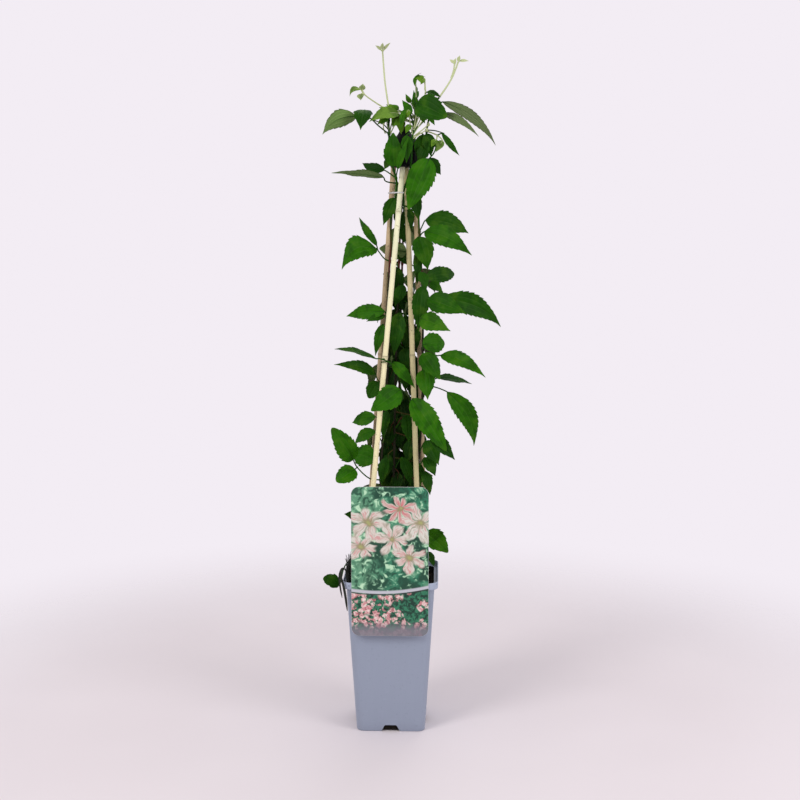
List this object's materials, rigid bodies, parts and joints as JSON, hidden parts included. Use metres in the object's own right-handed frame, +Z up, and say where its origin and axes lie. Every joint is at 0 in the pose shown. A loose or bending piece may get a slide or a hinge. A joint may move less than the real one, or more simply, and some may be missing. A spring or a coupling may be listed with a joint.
{
  "type": "potted clematis plant",
  "caption": "Young climbing clematis with slender leafy stems on bamboo canes, in a tall square tapered nursery pot with a plant label.",
  "frame": {"origin": "middle of the pot's flat underside", "axes": "+Z up along the canes; -Y is the front, the side that the plant label hangs on; +X is to the right as seen from the front"},
  "size_m": [0.2074, 0.1309, 0.7882],
  "materials": {
    "pot": "satin grey outside, black inside",
    "soil": null,
    "canes": "dry pale bamboo, one shaded browner",
    "cane_cap": "black moulded plastic",
    "cane_tie": "clear whitish plastic",
    "plant_label": null,
    "leaves": null,
    "young_shoots": "pale yellow-green"
  },
  "bodies": {
    "root": {"pot": "pot", "soil": "soil", "cane_front_left": "canes", "cane_front_right": "canes", "cane_rear_left": "canes", "cane_rear_right": "canes", "cane_cap": "cane_cap", "cane_tie": "cane_tie", "plant_label": "plant_label", "vine_left": "leaves", "vine_middle": "leaves", "vine_right": "leaves", "vine_rear": "leaves", "shoot_left": "young_shoots", "shoot_right": "young_shoots"}
  },
  "joints": []
}
